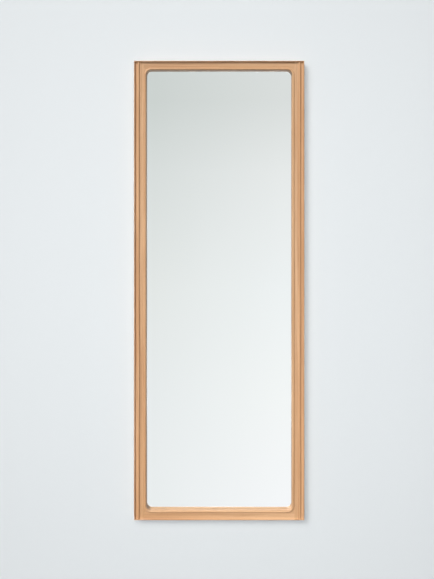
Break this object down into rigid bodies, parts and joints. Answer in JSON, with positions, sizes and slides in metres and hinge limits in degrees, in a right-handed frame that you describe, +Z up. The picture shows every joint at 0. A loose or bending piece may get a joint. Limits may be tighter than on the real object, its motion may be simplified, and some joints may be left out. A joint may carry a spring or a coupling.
{
  "type": "full-length wall mirror",
  "caption": "Tall framed mirror: oak frame with ribbed stiles, an outer rim and an inner bead, hung on two ring hangers.",
  "frame": {"origin": "centre of the bottom edge of the overall box, felt pads included", "axes": "+X to the viewer's right, +Y from the mirror's face to the wall, +Z up"},
  "size_m": [0.593, 0.04, 1.6],
  "materials": {
    "oak": "satin oiled, fine straight grain",
    "beech": "raw",
    "mirror": "polished, silvered",
    "safety_film": "matte film",
    "setting_rubber": "matte",
    "foam": "closed-cell foam",
    "hardboard": "pressed hardboard, matte",
    "zinc_steel": "zinc plated",
    "screw_steel": "zinc plated",
    "felt": "pressed felt"
  },
  "bodies": {
    "root": {"left_stile": "oak", "right_stile": "oak", "top_rail": "oak", "bottom_rail": "oak", "top_left_tenon": "beech", "top_right_tenon": "beech", "bottom_left_tenon": "beech", "bottom_right_tenon": "beech", "mirror_glass": "mirror", "safety_film": "safety_film", "setting_blocks": "setting_rubber", "left_foam_tape": "foam", "right_foam_tape": "foam", "top_foam_tape": "foam", "bottom_foam_tape": "foam", "back_board": "hardboard", "turn_button_screws": "screw_steel", "left_hanger_strap": "zinc_steel", "right_hanger_strap": "zinc_steel", "hanger_screws": "screw_steel", "wall_pads": "felt"},
    "left_turn_button_1": {"left_turn_button_1": "zinc_steel"},
    "left_turn_button_2": {"left_turn_button_2": "zinc_steel"},
    "left_turn_button_3": {"left_turn_button_3": "zinc_steel"},
    "left_turn_button_4": {"left_turn_button_4": "zinc_steel"},
    "right_turn_button_1": {"right_turn_button_1": "zinc_steel"},
    "right_turn_button_2": {"right_turn_button_2": "zinc_steel"},
    "right_turn_button_3": {"right_turn_button_3": "zinc_steel"},
    "right_turn_button_4": {"right_turn_button_4": "zinc_steel"},
    "top_turn_button": {"top_turn_button": "zinc_steel"},
    "bottom_turn_button": {"bottom_turn_button": "zinc_steel"},
    "left_hanger_ring": {"left_hanger_ring": "zinc_steel"},
    "right_hanger_ring": {"right_hanger_ring": "zinc_steel"}
  },
  "joints": [
    {"name": "left_turn_button_1_turn", "type": "hinge", "parent": "root", "child": "left_turn_button_1", "pos_m": [-0.2735, 0.0158, 0.144], "axis": [0, 1, 0], "continuous": true},
    {"name": "left_turn_button_2_turn", "type": "hinge", "parent": "root", "child": "left_turn_button_2", "pos_m": [-0.2735, 0.0158, 0.58133], "axis": [0, 1, 0], "continuous": true},
    {"name": "left_turn_button_3_turn", "type": "hinge", "parent": "root", "child": "left_turn_button_3", "pos_m": [-0.2735, 0.0158, 1.01867], "axis": [0, 1, 0], "continuous": true},
    {"name": "left_turn_button_4_turn", "type": "hinge", "parent": "root", "child": "left_turn_button_4", "pos_m": [-0.2735, 0.0158, 1.456], "axis": [0, 1, 0], "continuous": true},
    {"name": "right_turn_button_1_turn", "type": "hinge", "parent": "root", "child": "right_turn_button_1", "pos_m": [0.2735, 0.0158, 0.144], "axis": [0, 1, 0], "continuous": true},
    {"name": "right_turn_button_2_turn", "type": "hinge", "parent": "root", "child": "right_turn_button_2", "pos_m": [0.2735, 0.0158, 0.58133], "axis": [0, 1, 0], "continuous": true},
    {"name": "right_turn_button_3_turn", "type": "hinge", "parent": "root", "child": "right_turn_button_3", "pos_m": [0.2735, 0.0158, 1.01867], "axis": [0, 1, 0], "continuous": true},
    {"name": "right_turn_button_4_turn", "type": "hinge", "parent": "root", "child": "right_turn_button_4", "pos_m": [0.2735, 0.0158, 1.456], "axis": [0, 1, 0], "continuous": true},
    {"name": "top_turn_button_turn", "type": "hinge", "parent": "root", "child": "top_turn_button", "pos_m": [0, 0.0158, 1.588], "axis": [0, 1, 0], "continuous": true},
    {"name": "bottom_turn_button_turn", "type": "hinge", "parent": "root", "child": "bottom_turn_button", "pos_m": [0, 0.0158, 0.012], "axis": [0, 1, 0], "continuous": true},
    {"name": "left_hanger_ring_swing", "type": "hinge", "parent": "root", "child": "left_hanger_ring", "pos_m": [-0.2805, 0.01755, 1.34], "axis": [1, 0, 0], "range_deg": [0, 180]},
    {"name": "right_hanger_ring_swing", "type": "hinge", "parent": "root", "child": "right_hanger_ring", "pos_m": [0.2805, 0.01755, 1.34], "axis": [1, 0, 0], "range_deg": [0, 180]}
  ]
}
